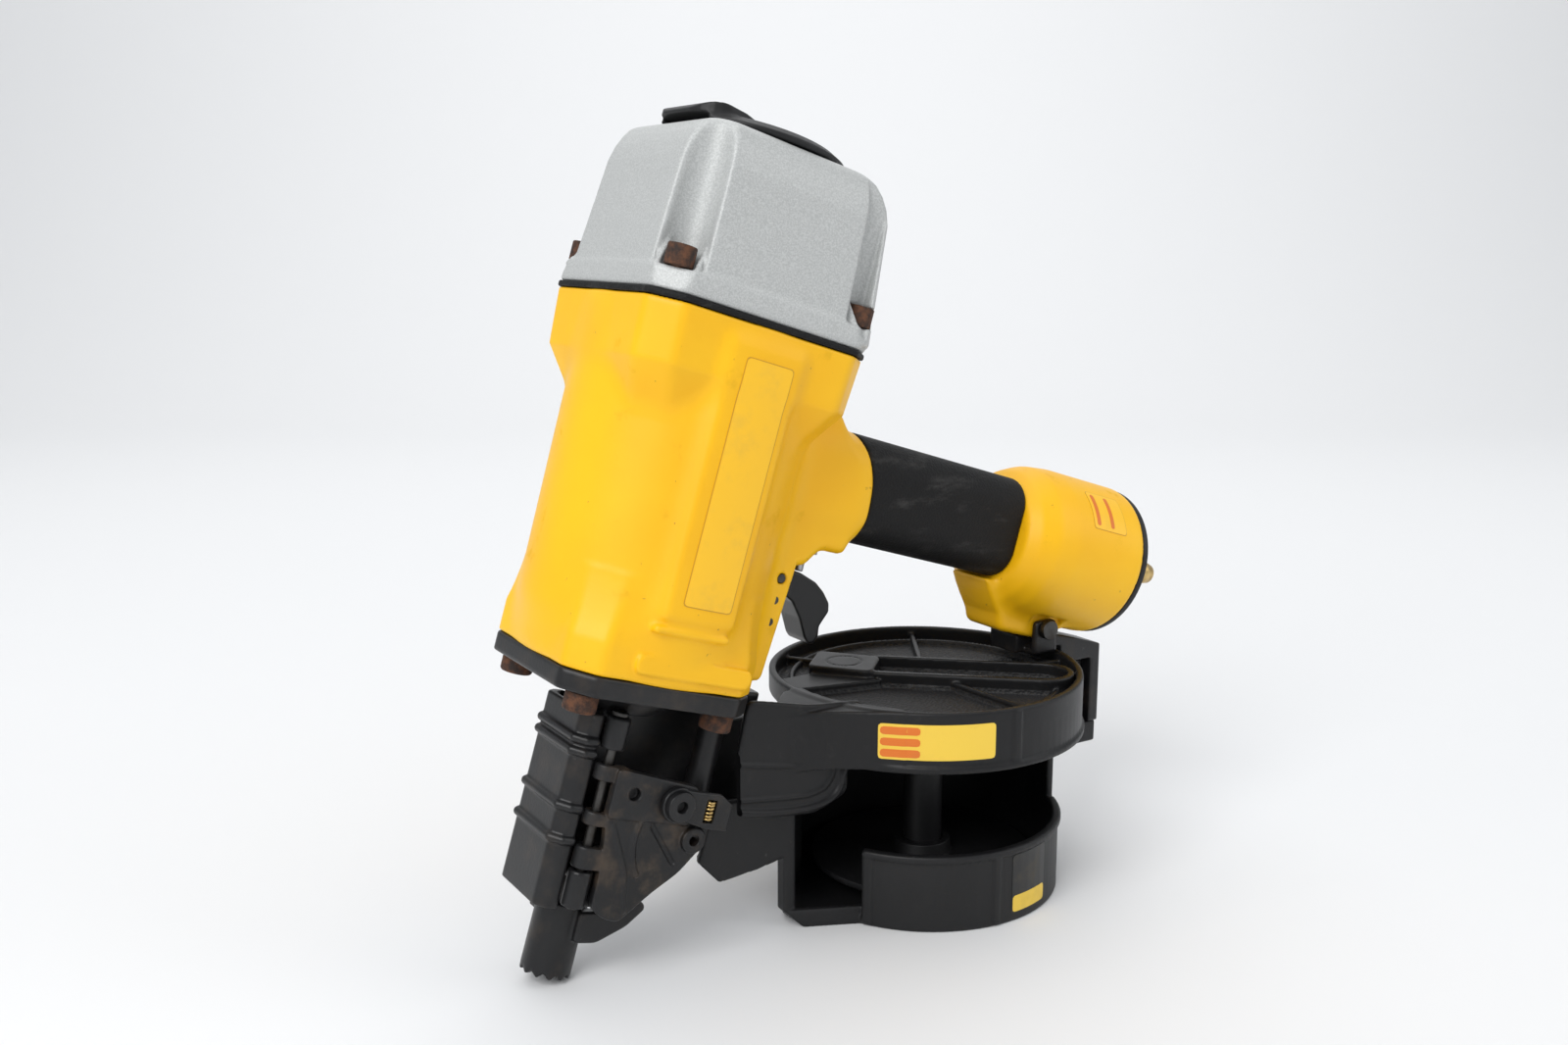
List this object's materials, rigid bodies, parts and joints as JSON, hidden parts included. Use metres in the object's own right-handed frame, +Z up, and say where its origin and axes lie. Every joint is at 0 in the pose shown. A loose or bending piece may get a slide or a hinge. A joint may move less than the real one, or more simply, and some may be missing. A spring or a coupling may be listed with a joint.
{
  "type": "coil nailer",
  "caption": "Pneumatic coil nailer with a cast barrel and cap, side handle with air plug, sprung nose, hinged nose door and a round coil magazine with a swinging cover.",
  "frame": {"origin": "on the floor under the middle of the round magazine, on its flat base", "axes": "+Z up, +X from the nose towards the air inlet, +Y to the side away from the nose door"},
  "size_m": [0.3445, 0.1444, 0.3472],
  "materials": {
    "yellow_enamel": "glossy yellow enamel on cast metal, small scuffs",
    "cast_grey": "bare silver-grey casting with a fine speckle",
    "black_casting": "black satin coating on metal, worn at edges",
    "black_plastic": "black satin moulded plastic",
    "black_rubber": "black rubber, lightly scuffed",
    "rusty_steel": "steel with brown surface rust",
    "steel": "plain steel",
    "brass": "worn brass",
    "bumper_rubber": "brown bumper rubber"
  },
  "bodies": {
    "housing": {"body_housing": "yellow_enamel", "cylinder_cap": "cast_grey", "nosepiece": "black_casting", "nose_guard": "black_casting", "rear_bracket": "black_casting", "handle_end_cap": "black_plastic", "magazine_canister": "black_plastic", "nail_post": "black_plastic", "handle_grip": "black_rubber", "cap_gasket": "black_rubber", "cap_bolt_1": "rusty_steel", "cap_bolt_2": "rusty_steel", "cap_bolt_3": "rusty_steel", "cap_bolt_4": "rusty_steel", "nose_bolt_1": "rusty_steel", "nose_bolt_2": "rusty_steel", "nose_bolt_3": "rusty_steel", "nose_bolt_4": "rusty_steel", "bracket_bolt": "rusty_steel", "end_cap_screw_1": "steel", "end_cap_screw_2": "steel", "end_cap_screw_3": "steel", "deflector_screw": "steel", "cylinder_sleeve": "steel", "head_valve_spring": "steel", "trip_spring": "steel", "door_hinge_pin": "steel", "trigger_pin": "steel", "trigger_valve_bush": "steel", "feed_end_plug": "steel", "feed_spring": "steel", "magazine_hinge_pin": "steel", "air_plug": "brass", "bumper": "bumper_rubber"},
    "deflector": {"exhaust_deflector": "black_plastic"},
    "trigger": {"trigger": "black_plastic"},
    "valve_stem": {"trigger_valve_stem": "steel"},
    "contact_trip": {"contact_trip": "black_casting", "trip_rod": "steel"},
    "door": {"nose_door": "black_casting", "latch_pin": "black_casting"},
    "latch": {"door_latch": "black_casting", "latch_spring": "brass"},
    "cover": {"magazine_cover": "black_plastic"},
    "platform": {"nail_platform": "black_plastic"},
    "drive_piston": {"piston": "steel", "piston_ring": "black_rubber", "driver_blade": "steel"},
    "head_valve": {"head_valve": "black_plastic"},
    "feed": {"feed_piston": "steel"}
  },
  "joints": [
    {"name": "deflector_spin", "type": "hinge", "parent": "housing", "child": "deflector", "pos_m": [-0.09071, 0, 0.3319], "axis": [0.2939, 0, 0.9558], "continuous": true},
    {"name": "trigger_pull", "type": "hinge", "parent": "housing", "child": "trigger", "pos_m": [-0.09035, 0, 0.15781], "axis": [0, -1, 0], "range_deg": [0, 14], "stiffness_Nm_per_rad": 0.6, "springref_deg": -17.19},
    {"name": "valve_stem_push", "type": "slide", "parent": "housing", "child": "valve_stem", "axis": [0.2939, 0, 0.9558], "range_m": [0, 0.0055]},
    {"name": "contact_trip_slide", "type": "slide", "parent": "housing", "child": "contact_trip", "axis": [0.2939, 0, 0.9558], "range_m": [0, 0.012], "stiffness_N_per_m": 4000, "springref_m": -0.01, "deforming": ["trip_spring"]},
    {"name": "door_swing", "type": "hinge", "parent": "housing", "child": "door", "pos_m": [-0.17645, -0.021, 0.07683], "axis": [-0.2939, 0, -0.9558], "range_deg": [0, 95]},
    {"name": "latch_lift", "type": "hinge", "parent": "door", "child": "latch", "pos_m": [-0.1452, -0.02975, 0.07434], "axis": [0, -1, 0], "range_deg": [0, 25], "stiffness_Nm_per_rad": 0.1, "springref_deg": -28.65},
    {"name": "cover_swing", "type": "hinge", "parent": "housing", "child": "cover", "pos_m": [0.089, 0, 0.0765], "axis": [0, 0, 1], "range_deg": [0, 80]},
    {"name": "platform_height", "type": "slide", "parent": "housing", "child": "platform", "axis": [0, 0, 1], "range_m": [0, 0.038]},
    {"name": "piston_stroke", "type": "slide", "parent": "housing", "child": "drive_piston", "axis": [0.2939, 0, 0.9558], "range_m": [-0.093, 0]},
    {"name": "head_valve_lift", "type": "slide", "parent": "housing", "child": "head_valve", "axis": [0.2939, 0, 0.9558], "range_m": [0, 0.006], "stiffness_N_per_m": 3000, "springref_m": -0.01, "deforming": ["head_valve_spring"]},
    {"name": "feed_stroke", "type": "slide", "parent": "housing", "child": "feed", "axis": [0.9558, 0, -0.2939], "range_m": [0, 0.008], "stiffness_N_per_m": 1500, "springref_m": -0.004, "deforming": ["feed_spring"]}
  ],
  "couplings": [
    {"joint": "valve_stem_push", "follows": "trigger_pull", "m_per_rad": 0.0204}
  ]
}
